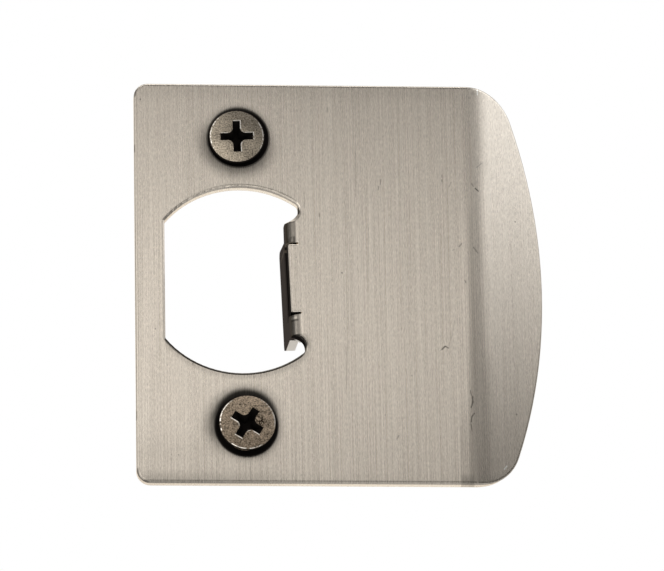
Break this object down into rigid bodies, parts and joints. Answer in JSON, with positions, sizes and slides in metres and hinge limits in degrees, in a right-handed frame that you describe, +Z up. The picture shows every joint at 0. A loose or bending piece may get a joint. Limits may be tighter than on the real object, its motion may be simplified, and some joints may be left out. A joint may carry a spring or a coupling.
{
  "type": "door strike plate",
  "caption": "Flat door strike plate with a round latch hole, a curved lip bent back, an adjustable tab and countersunk cross-recess screws.",
  "frame": {"origin": "midway between the two screws, on the plate's flat back that lies on the door jamb", "axes": "+Z up as mounted, +Y into the jamb, +X along the width towards the lip"},
  "size_m": [0.0555, 0.0169, 0.0572],
  "materials": {
    "satin_nickel": "satin nickel plating with fine upright brush lines, light scratches and small dents",
    "dull_screw_steel": "dull pewter-toned plating, rubbed bright on the rims and in the recess"
  },
  "bodies": {
    "root": {"strike_plate": "satin_nickel", "upper_screw": "dull_screw_steel", "lower_screw": "dull_screw_steel"}
  },
  "joints": []
}
